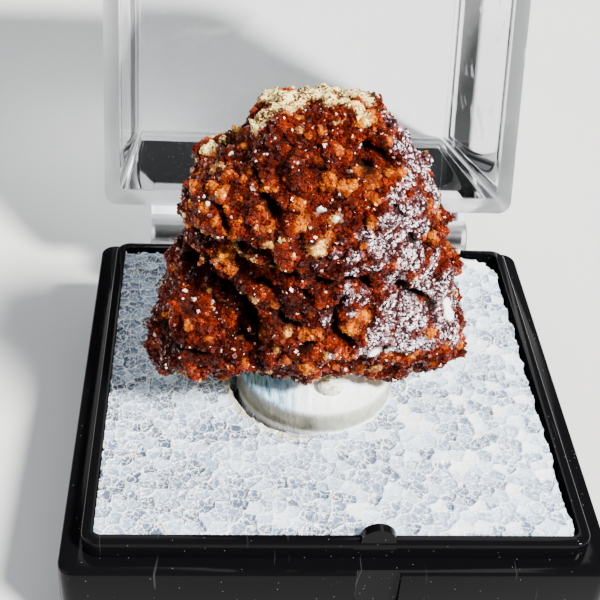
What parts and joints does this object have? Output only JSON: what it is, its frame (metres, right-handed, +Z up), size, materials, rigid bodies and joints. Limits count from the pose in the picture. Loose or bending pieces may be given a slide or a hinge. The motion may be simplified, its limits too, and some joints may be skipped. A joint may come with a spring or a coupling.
{
  "type": "jarosite specimen in hinged display box",
  "caption": "Red-brown jarosite crystals on pale matrix, stuck with putty on foam in a small black box with a clear hinged lid that closes over them.",
  "frame": {"origin": "centre of the black base's underside, where it stands on a table", "axes": "+Z up, +Y towards the hinge and the open lid, +X to the right as seen from the front"},
  "size_m": [0.032, 0.0697, 0.0386],
  "materials": {
    "black_plastic": "black moulded polystyrene, glossy",
    "clear_plastic": "clear moulded polystyrene, lightly scratched",
    "foam": "white cellular polystyrene foam with open cells",
    "putty": "pale grey-white mounting putty, pressed and streaked",
    "jarosite": "sparkling red-brown to orange crystals on cream matrix, with a silvery side"
  },
  "bodies": {
    "base": {"box_base": "black_plastic", "foam_insert": "foam", "putty": "putty", "specimen": "jarosite"},
    "lid": {"lid": "clear_plastic"}
  },
  "joints": [
    {"name": "lid_hinge", "type": "hinge", "parent": "base", "child": "lid", "pos_m": [0, 0.01805, 0.0064], "axis": [1, 0, 0], "range_deg": [0, 108.8]}
  ]
}
